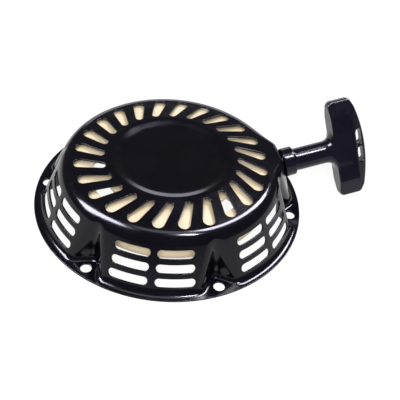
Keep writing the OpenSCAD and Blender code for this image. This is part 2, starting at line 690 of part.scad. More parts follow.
case();
centre_post();
rope_eyelet();
rope_lead();
thrust_washer();
centre_screw();
reel();
reel_bush();
spiral_spring();
rope_coil();
reel_knot();
pawl_a();
pawl_b();
pawl_spring_a();
pawl_spring_b();
ratchet_guide();
friction_spring();
handle_grip();
handle_rope();
handle_knot();
knot_washer();
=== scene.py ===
"""Looks of a pull-rope recoil starter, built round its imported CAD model. Shapes are worked out in
millimetres in the model's own frame, and become metres when a mesh is made."""
import math

import bmesh
import bpy
import numpy as np
import openvdb
from mathutils import Matrix, Vector
from mathutils.geometry import delaunay_2d_cdt


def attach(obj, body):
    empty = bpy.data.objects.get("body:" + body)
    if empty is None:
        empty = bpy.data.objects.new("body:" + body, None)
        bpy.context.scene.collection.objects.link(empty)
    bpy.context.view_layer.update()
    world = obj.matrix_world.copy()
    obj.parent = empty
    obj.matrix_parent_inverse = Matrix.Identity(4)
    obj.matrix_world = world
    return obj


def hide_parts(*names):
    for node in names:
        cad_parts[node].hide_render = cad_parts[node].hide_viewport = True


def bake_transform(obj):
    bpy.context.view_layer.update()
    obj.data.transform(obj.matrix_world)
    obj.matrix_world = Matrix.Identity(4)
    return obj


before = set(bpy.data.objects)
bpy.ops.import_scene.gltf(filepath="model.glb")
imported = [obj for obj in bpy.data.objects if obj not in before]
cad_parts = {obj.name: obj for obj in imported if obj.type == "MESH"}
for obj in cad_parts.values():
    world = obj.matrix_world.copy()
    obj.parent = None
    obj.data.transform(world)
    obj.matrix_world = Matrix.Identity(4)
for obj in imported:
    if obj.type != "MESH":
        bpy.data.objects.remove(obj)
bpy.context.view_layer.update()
MM = 0.001

# The case, from the flange up
FLANGE_R = 110.0
SHEET = 1.5
WALL_FOOT_R = 105.2
WALL_LEAN = math.radians(24.5)
TOP_SLOPE = math.radians(7.4)
SHOULDER_ROUND = 13.0
RIM_R = 48.5
RIM_Z = 47.8
DISH_R = 40.0
DISH_Z = 45.2
EDGE_ROUND = 0.4
BOLT_COUNT = 6
BOLT_CIRCLE_R = 101.6
BOLT_HOLE_R = 4.3
BOLT_START = math.radians(-1.8)
TOP_SLOT_COUNT = 24
TOP_SLOT_IN_R, TOP_SLOT_OUT_R = 53.3, 77.2
TOP_SLOT_IN_HALF, TOP_SLOT_OUT_HALF = 2.9, 4.6
TOP_SLOT_SKEW = math.radians(8.84)
TOP_SLOT_START = math.radians(111.2)
SIDE_SLOT_HALF = 3.1
SIDE_SLOT_SWEEP = math.radians(17.4)
SIDE_SLOT_ROWS = (10.0, 20.3, 30.7)
SIDE_SLOT_COLUMNS = (math.radians(19.9), math.radians(40.5))

# The rope outlet and the grip's line of pull
PULL_AZIMUTH = math.radians(20)
PULL_RISE = math.radians(10)
OUTLET_ALONG, OUTLET_OFFSET, OUTLET_Z = 94.1, -5.0, 30.5
BAR_ROLL = math.radians(27)
ROPE_R = 2.5


# ---------- small maths ----------

def smooth_min(a, b, k):
    h = np.maximum(k - np.abs(a - b), 0) / k
    return np.minimum(a, b) - h * h * k / 4


def smooth_max(a, b, k):
    return -smooth_min(-a, -b, k)


def smooth_step(t):
    t = np.clip(t, 0, 1)
    return t * t * (3 - 2 * t)


def mix(a, b, t):
    return a + (b - a) * t


def rounded_corner(a, b, radius, between):
    """Distance to the rounded corner of two faces, from the distances to each and the cosine of the
    angle between their normals."""
    u, v, s = a + radius, b + radius, 1 - between * between
    in_corner = (u > v * between) & (v > u * between)
    arc = np.sqrt(np.maximum(u * u + v * v - 2 * u * v * between, 0) / s) - radius
    return np.where(in_corner, arc, np.maximum(a, b))


def stadium(start, end, start_r, end_r, steps=14, side_steps=20):
    """Points round a slot with round ends, from end centre to end centre, anticlockwise."""
    start, end = np.array(start, float), np.array(end, float)
    length = np.linalg.norm(end - start)
    heading = math.atan2(end[1] - start[1], end[0] - start[0])
    tilt = math.asin((end_r - start_r) / length)
    far = heading + np.linspace(-math.pi / 2 - tilt, math.pi / 2 + tilt, steps)
    near = heading + np.linspace(math.pi / 2 + tilt, 3 * math.pi / 2 - tilt, steps)
    far_arc = end + end_r * np.stack([np.cos(far), np.sin(far)], 1)
    near_arc = start + start_r * np.stack([np.cos(near), np.sin(near)], 1)
    t = np.linspace(0, 1, side_steps + 2)[1:-1, None]
    sides = [mix(far_arc[-1], near_arc[0], t), mix(near_arc[-1], far_arc[0], t)]
    return np.concatenate([far_arc, sides[0], near_arc, sides[1]])


def outlet_matrix():
    """The outlet's frame in millimetres: X along the pull, Z up across it."""
    turn = Matrix.Rotation(PULL_AZIMUTH, 4, "Z")
    move = Matrix.Translation((OUTLET_ALONG, OUTLET_OFFSET, OUTLET_Z))
    return turn @ move @ Matrix.Rotation(-PULL_RISE, 4, "Y")


OUTLET = outlet_matrix()
GRIP = OUTLET @ Matrix.Rotation(-BAR_ROLL, 4, "X")


def moved(points, matrix):
    m = np.array(matrix)
    return points @ m[:3, :3].T + m[:3, 3]


# ---------- meshes ----------

SHARP_ANGLE = math.radians(60)


def piece(name, points, faces, body, material, node, uv=None, normals=None):
    """A mesh piece from points in millimetres, which stands for a CAD node and rides on a body if one is
    given. It is shaded with the given normals, or smooth up to the sharp angle."""
    mesh = bpy.data.meshes.new(name)
    mesh.from_pydata((points * MM).tolist(), [], faces)
    if uv is not None:
        layer = mesh.uv_layers.new(name="rope")
        corners = np.empty(len(mesh.loops), np.int32)
        mesh.loops.foreach_get("vertex_index", corners)
        layer.data.foreach_set("uv", uv[corners].astype(np.float32).ravel())
    work = bmesh.new()
    work.from_mesh(mesh)
    bmesh.ops.recalc_face_normals(work, faces=work.faces)
    work.to_mesh(mesh)
    work.free()
    mesh.shade_smooth()
    if normals is not None:
        mesh.normals_split_custom_set_from_vertices(normals)
    else:
        mesh.set_sharp_from_angle(angle=SHARP_ANGLE)
    thing = bpy.data.objects.new(name, mesh)
    bpy.context.scene.collection.objects.link(thing)
    mesh.materials.append(material)
    if body:
        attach(thing, body)
    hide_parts(node)
    return thing


def slope_at(points, distance, small=0.01):
    here = distance(*points.T)
    return np.stack([distance(*(points + small * axis).T) - here for axis in np.eye(3)], 1) / small


SETTLE_STEPS = 4


def settle(points, distance):
    """Moves points onto the zero surface of a distance function."""
    for _ in range(SETTLE_STEPS):
        here, slope = distance(*points.T), slope_at(points, distance)
        length2 = np.maximum((slope * slope).sum(1), 0.05)
        points = points - np.clip(here / length2, -0.5, 0.5)[:, None] * slope
    return points


GRID_BAND = 3.0


def blob(distance, low, high, step):
    """Points and quads of the zero surface of a distance function of x, y and z in millimetres."""
    low, high = np.array(low, float), np.array(high, float)
    counts = np.ceil((high - low) / step).astype(int) + 1
    axes = [low[i] + step * np.arange(counts[i]) for i in range(3)]
    values = distance(*np.meshgrid(*axes, indexing="ij")).astype(np.float32)
    grid = openvdb.FloatGrid(background=GRID_BAND)
    grid.copyFromArray(np.clip(values, -GRID_BAND, GRID_BAND))
    points, quads = grid.convertToQuads(isovalue=0.0)
    return settle(low + step * points.astype(float), distance), quads.astype(int).tolist()


TUBE_SIDES = 16


def tube(path, radius, closed):
    """Points, faces and (turn, length) coordinates of a round tube along a path. An open tube has
    rounded ends."""
    sides = TUBE_SIDES
    path = np.array(path, float)
    if closed:
        along = np.roll(path, -1, 0) - np.roll(path, 1, 0)
    else:
        along = np.gradient(path, axis=0)
    along /= np.linalg.norm(along, axis=1)[:, None]
    side = np.cross(along[0], [0.31, 0.17, 0.93])
    across = []
    for t in along:
        side = side - t * side.dot(t)
        side /= np.linalg.norm(side)
        across.append(side)
    across = np.array(across)
    up = np.cross(along, across)
    lengths = np.concatenate([[0], np.cumsum(np.linalg.norm(np.diff(path, axis=0), axis=1))])
    radii = np.full(len(path), float(radius))
    if not closed:
        cap = np.array([0.0, 0.5, 0.8, 0.95]) * radius
        radii[:4], radii[-4:] = cap + 0.01, cap[::-1] + 0.01
    turn = np.linspace(0, 2 * math.pi, sides, endpoint=False)
    out = np.cos(turn)[None, :, None] * across[:, None] + np.sin(turn)[None, :, None] * up[:, None]
    rings = path[:, None] + radii[:, None, None] * out
    count = len(path)
    uv = np.stack([np.tile(turn / (2 * math.pi), (count, 1)), np.tile(lengths[:, None], (1, sides))], 2)
    faces = []
    for i in range(count if closed else count - 1):
        this, after = i * sides, ((i + 1) % count) * sides
        for k in range(sides):
            side_after = (k + 1) % sides
            faces.append([this + k, this + side_after, after + side_after, after + k])
    if not closed:
        faces += [list(range(sides))[::-1], [(count - 1) * sides + k for k in range(sides)]]
    return rings.reshape(-1, 3), faces, uv.reshape(-1, 2)


# ---------- materials ----------

def shader(name, **sockets):
    """A new material with the constants set on its own shader."""
    material = bpy.data.materials.new(name)
    material.use_nodes = True
    main = material.node_tree.nodes["Principled BSDF"]
    for socket, value in sockets.items():
        main.inputs[socket.replace("_", " ")].default_value = value
    return material, material.node_tree, main


def add(tree, kind, **settings):
    node = tree.nodes.new(kind)
    for key, value in settings.items():
        if key in node.bl_rna.properties:
            setattr(node, key, value)
        else:
            node.inputs[key.replace("_", " ")].default_value = value
    return node


def ramp(tree, source, stops):
    """A colour ramp of (place, colour or grey) stops on a source."""
    node = tree.nodes.new("ShaderNodeValToRGB")
    while len(node.color_ramp.elements) < len(stops):
        node.color_ramp.elements.new(0.5)
    for element, (place, colour) in zip(node.color_ramp.elements, stops):
        element.position = place
        element.color = (*colour, 1) if isinstance(colour, tuple) else (colour, colour, colour, 1)
    tree.links.new(source, node.inputs["Fac"])
    return node.outputs["Color"]


def place(tree):
    return tree.nodes.new("ShaderNodeTexCoord").outputs["Object"]


def noise(tree, scale, detail, rough=0.5):
    node = add(tree, "ShaderNodeTexNoise", Scale=scale, Detail=detail, Roughness=rough)
    tree.links.new(place(tree), node.inputs["Vector"])
    return node.outputs["Fac"]


def bump(tree, main, height, strength, distance, below=None):
    node = add(tree, "ShaderNodeBump", Strength=strength, Distance=distance)
    tree.links.new(height, node.inputs["Height"])
    if below:
        tree.links.new(below, node.inputs["Normal"])
    tree.links.new(node.outputs["Normal"], main.inputs["Normal"])
    return node.outputs["Normal"]


def black_paint():
    """Glossy black stoved paint with faint orange peel, dust and a blue-violet cast."""
    material, tree, main = shader("black_paint", Specular_IOR_Level=0.24)
    stops = [(0.3, (0.001, 0.0008, 0.0017)), (0.7, (0.0018, 0.0015, 0.003))]
    tree.links.new(ramp(tree, noise(tree, 35, 5), stops), main.inputs["Base Color"])
    tree.links.new(ramp(tree, noise(tree, 60, 6), [(0.35, 0.11), (0.7, 0.18)]), main.inputs["Roughness"])
    bump(tree, main, noise(tree, 420, 2), 0.05, 0.0003)
    return material


def black_plastic():
    """Moulded black plastic with a fine grain."""
    material, tree, main = shader("black_plastic", Specular_IOR_Level=0.24)
    stops = [(0.3, (0.002, 0.0018, 0.004)), (0.7, (0.0035, 0.0031, 0.007))]
    tree.links.new(ramp(tree, noise(tree, 50, 5), stops), main.inputs["Base Color"])
    tree.links.new(ramp(tree, noise(tree, 120, 6), [(0.3, 0.13), (0.7, 0.2)]), main.inputs["Roughness"])
    bump(tree, main, noise(tree, 900, 3), 0.05, 0.0002)
    return material


def nylon(name, pale, deep):
    """Natural nylon: slightly see-through, clouded, with faint flow marks."""
    material, tree, main = shader(name, Subsurface_Weight=0.12, Subsurface_Scale=0.002,
                                  Specular_IOR_Level=0.4)
    main.inputs["Subsurface Radius"].default_value = (1.0, 0.8, 0.6)
    stops = [(0.25, deep), (0.55, pale), (0.8, tuple(0.96 * c for c in pale))]
    tree.links.new(ramp(tree, noise(tree, 28, 5, 0.6), stops), main.inputs["Base Color"])
    tree.links.new(ramp(tree, noise(tree, 160, 4), [(0.3, 0.42), (0.7, 0.6)]), main.inputs["Roughness"])
    flow = bump(tree, main, noise(tree, 220, 3), 0.12, 0.0006)
    bump(tree, main, noise(tree, 1800, 3), 0.12, 0.0002, flow)
    return material


def metal(name, colour, low, high):
    """Bare or plated metal with a fine grain, uneven polish and darker clouds."""
    material, tree, main = shader(name, Metallic=1.0)
    fine = noise(tree, 900, 5)
    dark = tuple(0.72 * c for c in colour)
    tree.links.new(ramp(tree, noise(tree, 90, 5), [(0.3, dark), (0.65, colour)]), main.inputs["Base Color"])
    tree.links.new(ramp(tree, fine, [(0.3, low), (0.7, high)]), main.inputs["Roughness"])
    bump(tree, main, fine, 0.15, 0.0001)
    return material


def maths(tree, operation, a, b=None):
    node = add(tree, "ShaderNodeMath", operation=operation)
    for value, socket in ((a, node.inputs[0]), (b, node.inputs[1])):
        if value is None:
            continue
        if isinstance(value, (int, float)):
            socket.default_value = value
        else:
            tree.links.new(value, socket)
    return node.outputs[0]


BRAID_CARRIERS = 8
BRAID_PITCH = 11.0
FLECK_HALF_WIDTH = 0.045


def braided_rope(name, straight=False):
    """Pale braided rope with dark flecks, and painted shade that darkens the low places between its
    strands. A straight rope reads its place along the pull; the others read the turn and the length
    that their mesh carries."""
    material, tree, main = shader(name, Roughness=0.85, Sheen_Weight=0.1, Sheen_Roughness=0.5)
    split = tree.nodes.new("ShaderNodeSeparateXYZ")
    if straight:
        axes = GRIP.to_3x3().inverted().to_euler()
        spin = add(tree, "ShaderNodeMapping", vector_type="POINT")
        spin.inputs["Rotation"].default_value = axes
        shift = -(GRIP.to_3x3().inverted() @ GRIP.translation) * MM
        spin.inputs["Location"].default_value = shift
        tree.links.new(place(tree), spin.inputs["Vector"])
        tree.links.new(spin.outputs["Vector"], split.inputs[0])
        along = maths(tree, "MULTIPLY", split.outputs["X"], 1000.0)
        angle = maths(tree, "ARCTAN2", split.outputs["Z"], split.outputs["Y"])
        turn = maths(tree, "DIVIDE", angle, 2 * math.pi)
    else:
        carried = tree.nodes.new("ShaderNodeUVMap")
        carried.uv_map = "rope"
        tree.links.new(carried.outputs["UV"], split.inputs[0])
        turn, along = split.outputs["X"], split.outputs["Y"]
    run = maths(tree, "DIVIDE", along, BRAID_PITCH)
    waves = []
    for sign in (1, -1):
        twist = maths(tree, "ADD", turn, maths(tree, "MULTIPLY", run, sign))
        phase = maths(tree, "MULTIPLY", twist, math.pi * BRAID_CARRIERS)
        waves.append(maths(tree, "ABSOLUTE", maths(tree, "SINE", phase)))
    over = maths(tree, "SINE", maths(tree, "MULTIPLY", run, 2 * math.pi * BRAID_CARRIERS))
    height = maths(tree, "MAXIMUM", waves[0], waves[1])
    height = maths(tree, "ADD", height, maths(tree, "MULTIPLY", over, 0.12))
    # painted shade: the braid's low places between strands are coloured dark and its crowns pale
    stops = [(0.3, (0.16, 0.155, 0.14)), (0.7, (0.40, 0.39, 0.37)), (1.0, (0.50, 0.49, 0.47))]
    painted_braid_shade = ramp(tree, height, stops)
    fleck_turn = maths(tree, "FRACT", maths(tree, "ADD", turn, run))
    from_fleck = maths(tree, "ABSOLUTE", maths(tree, "SUBTRACT", fleck_turn, 0.5))
    fleck = maths(tree, "LESS_THAN", from_fleck, FLECK_HALF_WIDTH)
    fleck = maths(tree, "MULTIPLY", fleck, maths(tree, "GREATER_THAN", waves[0], waves[1]))
    blend = add(tree, "ShaderNodeMix", data_type="RGBA")
    tree.links.new(fleck, blend.inputs["Factor"])
    tree.links.new(painted_braid_shade, blend.inputs[6])
    blend.inputs[7].default_value = (0.05, 0.05, 0.07, 1)
    tree.links.new(blend.outputs[2], main.inputs["Base Color"])
    bump(tree, main, height, 0.6, 0.0005)
    return material


PAINT = black_paint()
PLASTIC = black_plastic()
REEL_NYLON = nylon("reel_nylon", (0.52, 0.44, 0.30), (0.45, 0.36, 0.225))
GUIDE_NYLON = nylon("guide_nylon", (0.84, 0.79, 0.66), (0.76, 0.69, 0.54))
ZINC = metal("zinc_plate", (0.66, 0.68, 0.71), 0.22, 0.42)
SPRING_STEEL = metal("spring_steel", (0.20, 0.22, 0.27), 0.25, 0.45)
BRONZE = metal("sintered_bronze", (0.62, 0.42, 0.22), 0.35, 0.6)
ROPE = braided_rope("rope_braid")
PULLED_ROPE = braided_rope("rope_braid_straight", straight=True)


# ---------- the pressed case ----------

WALL_TAN, TOP_TAN = math.tan(WALL_LEAN), math.tan(TOP_SLOPE)
CORNER_Z = (RIM_Z - (WALL_FOOT_R - RIM_R) * TOP_TAN) / (1 - WALL_TAN * TOP_TAN)
CORNER_R = WALL_FOOT_R - CORNER_Z * WALL_TAN
WALL_NORMAL = np.array([math.cos(WALL_LEAN), math.sin(WALL_LEAN)])
TOP_NORMAL = np.array([math.sin(TOP_SLOPE), math.cos(TOP_SLOPE)])
SHOULDER_TURN = float(WALL_NORMAL @ TOP_NORMAL)
SHOULDER_SHIFT = SHOULDER_ROUND * (WALL_NORMAL + TOP_NORMAL) / (1 + SHOULDER_TURN)
SHOULDER = np.array([CORNER_R, CORNER_Z]) - SHOULDER_SHIFT
RING_END = SHOULDER[0] + SHOULDER_ROUND * TOP_NORMAL[0]
FAN_TOP = math.pi / 2 - TOP_SLOPE
FOOT_Z = 2.6
FOOT_FILLET = 4.0
POCKET_TIP_R, POCKET_ROUND, POCKET_FOLD = 91.3, 5.0, 3.6
POCKET_HALF_ANGLE = math.radians(48.5)
POCKET_LEAN = math.radians(4.7)
SNOUT_TANGENT_R, SNOUT_CORNER, SNOUT_ROUND = 83.6, 7.5, 6.0
SNOUT_LEFT, SNOUT_RIGHT = 6.5, -12.5
SNOUT_BLEND = 6.0
INSIDE_R = 60.0
BISECTIONS = 26


def dish_and_ring(r):
    ring = RIM_Z - (r - RIM_R) * TOP_TAN
    slope = DISH_Z + (r - DISH_R) * (RIM_Z - DISH_Z) / (RIM_R - DISH_R)
    return smooth_min(ring, smooth_max(slope, np.full_like(r, DISH_Z), 0.6), 0.9)


def pocket_distance(r, az, z):
    """Distance outside the V-shaped tent that clears the nearest bolt."""
    step = 2 * math.pi / BOLT_COUNT
    turn = (az - BOLT_START + step / 2) % step - step / 2
    x, y = r * np.cos(turn) - POCKET_TIP_R - POCKET_ROUND, np.abs(r * np.sin(turn))
    x = x * math.cos(POCKET_LEAN) + z * math.sin(POCKET_LEAN)
    c, s = math.cos(POCKET_HALF_ANGLE), math.sin(POCKET_HALF_ANGLE)
    beside = x * c + y * s > 0
    return np.where(beside, y * c - x * s, np.hypot(x, y)) - POCKET_ROUND


def snout_distance(r, az, z):
    """Distance outside the snout's plan, whose flanks leave the bowl at a tangent."""
    turn = (az - PULL_AZIMUTH + math.pi) % (2 * math.pi) - math.pi
    x, y = r * np.cos(turn) - OUTLET_ALONG, r * np.sin(turn)
    x = x * math.cos(PULL_RISE) + (z - OUTLET_Z) * math.sin(PULL_RISE) + OUTLET_ALONG
    flanks, past = [], np.zeros_like(x)
    for side, across in ((1, SNOUT_LEFT), (-1, SNOUT_RIGHT)):
        centre = np.array([OUTLET_ALONG - SNOUT_CORNER, across])
        reach = math.acos((SNOUT_TANGENT_R - SNOUT_CORNER) / np.linalg.norm(centre))
        heading = math.atan2(centre[1], centre[0]) + side * reach
        flank = x * math.cos(heading) + y * math.sin(heading) - SNOUT_TANGENT_R
        flanks.append((flank, math.cos(heading)))
        past = np.maximum(past, side * (np.arctan2(y, x) - heading))
    plan = x - OUTLET_ALONG
    for flank, turn_cos in flanks:
        plan = rounded_corner(flank, plan, SNOUT_CORNER, turn_cos)
    behind = np.hypot(x, y) - SNOUT_TANGENT_R + 40 * past
    return np.where(past > 0, behind, plan)


def case_distance(r, az, z):
    """Distance outside the case's outer skin, near enough to find the skin and its normal."""
    top = (z - dish_and_ring(r)) * math.cos(TOP_SLOPE)
    wall = (r - WALL_FOOT_R + z * WALL_TAN) * math.cos(WALL_LEAN)
    flank = snout_distance(r, az, z)
    share = smooth_step(0.5 + (wall - flank) / (2 * SNOUT_BLEND))
    side = smooth_min(wall, flank, SNOUT_BLEND)
    snout_turn = math.sin(TOP_SLOPE + PULL_RISE)
    body = rounded_corner(top, side, mix(SHOULDER_ROUND, SNOUT_ROUND, share),
                          mix(SHOULDER_TURN, snout_turn, share))
    return smooth_min(smooth_max(body, -pocket_distance(r, az, z), POCKET_FOLD), z - SHEET, FOOT_FILLET)


def leave(start_r, start_z, go_r, go_z, az, reach):
    """How far along each ray the outer skin is, by bisection."""
    low, high = np.zeros_like(az), np.full_like(az, reach)
    for _ in range(BISECTIONS):
        middle = (low + high) / 2
        inside = case_distance(start_r + middle * go_r, az, start_z + middle * go_z) < 0
        low, high = np.where(inside, middle, low), np.where(inside, high, middle)
    return (low + high) / 2


def side_radius(az, z):
    """Radius of the case's side at a height."""
    return INSIDE_R + leave(INSIDE_R, z, 1.0, 0.0, az, FLANGE_R - INSIDE_R - 0.1)


def foot_radius(az):
    return side_radius(az, np.full_like(az, FOOT_Z))


FOOT_SPREAD = 0.35


def flange_share(t):
    """How far out on the flange a place t is, with places closer together near the foot."""
    return FOOT_SPREAD * t + (1 - FOOT_SPREAD) * t * t


def flange_place(share):
    """The reverse of flange_share."""
    curve = 4 * (1 - FOOT_SPREAD)
    return 2 * (np.sqrt(FOOT_SPREAD ** 2 + curve * share) - FOOT_SPREAD) / curve


# Widths on the flat plan, from the centre out: top ring, shoulder, wall, flange
PLAN_WIDTHS = (RING_END, 19.0, 31.5, 12.0)
PLAN_RADII = np.concatenate([[0], np.cumsum(PLAN_WIDTHS)])
FLANGE_EDGE = FLANGE_R - EDGE_ROUND


def skin(az, v):
    """Points (radius, angle, height) of the outer skin. v is 0 at the centre, 1 at the end of the top
    ring, 2 at the end of the shoulder, 3 at the foot and 4 at the flange's edge."""
    r, z = v * RING_END, np.zeros_like(az)
    z = np.where(v <= 1, dish_and_ring(r), z)
    fan = (v > 1) & (v <= 2)
    rise = FAN_TOP * (2 - v[fan])
    out = leave(SHOULDER[0], SHOULDER[1], np.cos(rise), np.sin(rise), az[fan], 40.0)
    r[fan], z[fan] = SHOULDER[0] + out * np.cos(rise), SHOULDER[1] + out * np.sin(rise)
    wall = (v > 2) & (v <= 3)
    z[wall] = mix(SHOULDER[1], FOOT_Z, v[wall] - 2)
    r[wall] = side_radius(az[wall], z[wall])
    flange = v > 3
    foot = foot_radius(az[flange])
    r[flange] = mix(foot, FLANGE_EDGE, flange_share(v[flange] - 3))
    z[flange] = 0.5 + leave(r[flange], 0.5, 0.0, 1.0, az[flange], FOOT_Z)
    return r, az, z


def skin_and_normal(az, v):
    r, az, z = skin(az, v)
    small = 0.02
    here = case_distance(r, az, z)
    turn = small / np.maximum(r, 1)
    slope_r = (case_distance(r + small, az, z) - here) / small
    slope_a = (case_distance(r, az + turn, z) - here) / small
    slope_z = (case_distance(r, az, z + small) - here) / small
    c, s = np.cos(az), np.sin(az)
    points = np.stack([r * c, r * s, z], 1)
    normal = np.stack([slope_r * c - slope_a * s, slope_r * s + slope_a * c, slope_z], 1)
    return points, normal / np.linalg.norm(normal, axis=1)[:, None]


def on_plan(az, v):
    rho = np.interp(v, np.arange(5), PLAN_RADII)
    return np.stack([rho * np.cos(az), rho * np.sin(az)], 1)


def skin_place(r, z):
    """The skin's v at a radius and height: on the ring, or seen from the shoulder's centre."""
    fan = 2 - np.arctan2(z - SHOULDER[1], r - SHOULDER[0]) / FAN_TOP
    wall = 2 + (SHOULDER[1] - z) / (SHOULDER[1] - FOOT_Z)
    return np.where(z > SHOULDER[1], fan, wall)


def top_slot(index):
    inner = TOP_SLOT_IN_R * np.array([math.cos(TOP_SLOT_SKEW), math.sin(TOP_SLOT_SKEW)])
    outer = np.array([TOP_SLOT_OUT_R, 0.0])
    along = (outer - inner) / np.linalg.norm(outer - inner)
    turn = TOP_SLOT_START - TOP_SLOT_SKEW - index * 2 * math.pi / TOP_SLOT_COUNT

    def outline(grow):
        p = stadium(inner + along * TOP_SLOT_IN_HALF, outer - along * TOP_SLOT_OUT_HALF,
                    TOP_SLOT_IN_HALF + grow, TOP_SLOT_OUT_HALF + grow)
        return np.arctan2(p[:, 1], p[:, 0]) + turn, np.hypot(p[:, 0], p[:, 1]) / RING_END
    return outline


def side_slot(azimuth, height):
    middle = (WALL_FOOT_R - height * WALL_TAN) * math.sin(SIDE_SLOT_SWEEP / 2) - SIDE_SLOT_HALF

    def outline(grow):
        radius = SIDE_SLOT_HALF + grow
        p = stadium((-middle, height), (middle, height), radius, radius, 12, 28)
        r = WALL_FOOT_R - p[:, 1] * WALL_TAN
        return azimuth + np.arcsin(p[:, 0] / r), skin_place(r, p[:, 1])
    return outline


def bolt_hole(azimuth):
    def outline(grow):
        turn = np.linspace(0, 2 * math.pi, 44, endpoint=False)
        x = BOLT_CIRCLE_R + (BOLT_HOLE_R + grow) * np.cos(turn)
        y = (BOLT_HOLE_R + grow) * np.sin(turn)
        az, r = azimuth + np.arctan2(y, x), np.hypot(x, y)
        foot = foot_radius(az)
        return az, 3 + flange_place((r - foot) / (FLANGE_EDGE - foot))
    return outline


OUTLET_HOLE_R = 4.6


def outlet_hole(grow):
    turn = np.linspace(0, 2 * math.pi, 40, endpoint=False)
    ring = (OUTLET_HOLE_R + grow) * np.stack([0 * turn, np.cos(turn), np.sin(turn)], 1)
    x, y, z = moved(ring, OUTLET).T
    r = np.hypot(x, y)
    return np.arctan2(y, x), skin_place(r, z)


def case_holes():
    holes = [top_slot(i) for i in range(TOP_SLOT_COUNT)]
    for bay in range(BOLT_COUNT):
        bolt = BOLT_START + bay * 2 * math.pi / BOLT_COUNT
        holes.append(bolt_hole(bolt))
        for column in SIDE_SLOT_COLUMNS:
            for row in SIDE_SLOT_ROWS:
                under_snout = bay == 0 and column == SIDE_SLOT_COLUMNS[0] and row > SIDE_SLOT_ROWS[0]
                if not under_snout:
                    holes.append(side_slot(bolt + column, row))
    return holes + [outlet_hole]


TOP_SPACING = 1.7
RING_SPACING, TURN_SPACING = 0.9, 1.0
TURN_SPACING_R = 100
POCKET_FINE, SNOUT_FINE = math.radians(15), math.radians(36)
OUTLINE_GAP = 0.55


def near_folds(az):
    """Which angles lie near a bolt pocket or the snout."""
    bay = 2 * math.pi / BOLT_COUNT
    near = np.abs((az - BOLT_START + bay / 2) % bay - bay / 2) < POCKET_FINE
    return near | (np.abs((az - PULL_AZIMUTH + math.pi) % (2 * math.pi) - math.pi) < SNOUT_FINE)


def skin_grid():
    """Places all over the skin: rings of points, closer together where the sheet folds."""
    az_all, v_all = [], []
    for zone in range(4):
        across, round_it = (RING_SPACING, TURN_SPACING) if zone else (TOP_SPACING, TOP_SPACING)
        count = int(PLAN_WIDTHS[zone] / across)
        for i in range(count):
            v = zone + i / count
            rho = float(np.interp(v, np.arange(5), PLAN_RADII))
            steps = max(int(2 * math.pi * min(rho, TURN_SPACING_R) / round_it), 1)
            az = (np.arange(steps) + 0.5 * (i % 2)) * 2 * math.pi / steps
            az_all.append(az)
            v_all.append(np.full(steps, v))
            if zone:
                extra = az + math.pi / steps
                extra = extra[near_folds(extra)]
                az_all.append(extra)
                v_all.append(np.full(len(extra), v))
    return np.concatenate(az_all), np.concatenate(v_all)


def inside_outline(points, outline):
    """Which points lie inside a closed outline, or within a small gap of it."""
    gap = OUTLINE_GAP
    low, high = outline.min(0) - gap, outline.max(0) + gap
    hit = np.all((points > low) & (points < high), axis=1)
    near = points[hit]
    a, b = outline, np.roll(outline, -1, 0)
    crosses = (a[None, :, 1] > near[:, None, 1]) != (b[None, :, 1] > near[:, None, 1])
    rise = np.where(np.abs(b[:, 1] - a[:, 1]) < 1e-12, 1e-12, b[:, 1] - a[:, 1])
    x = a[None, :, 0] + (near[:, None, 1] - a[None, :, 1]) * (b[:, 0] - a[:, 0]) / rise
    within = (crosses & (near[:, None, 0] < x)).sum(1) % 2 == 1
    close = (np.linalg.norm(near[:, None] - a[None], axis=2) < gap).any(1)
    hit[hit] = within | close
    return hit


EDGE_STEPS = 700


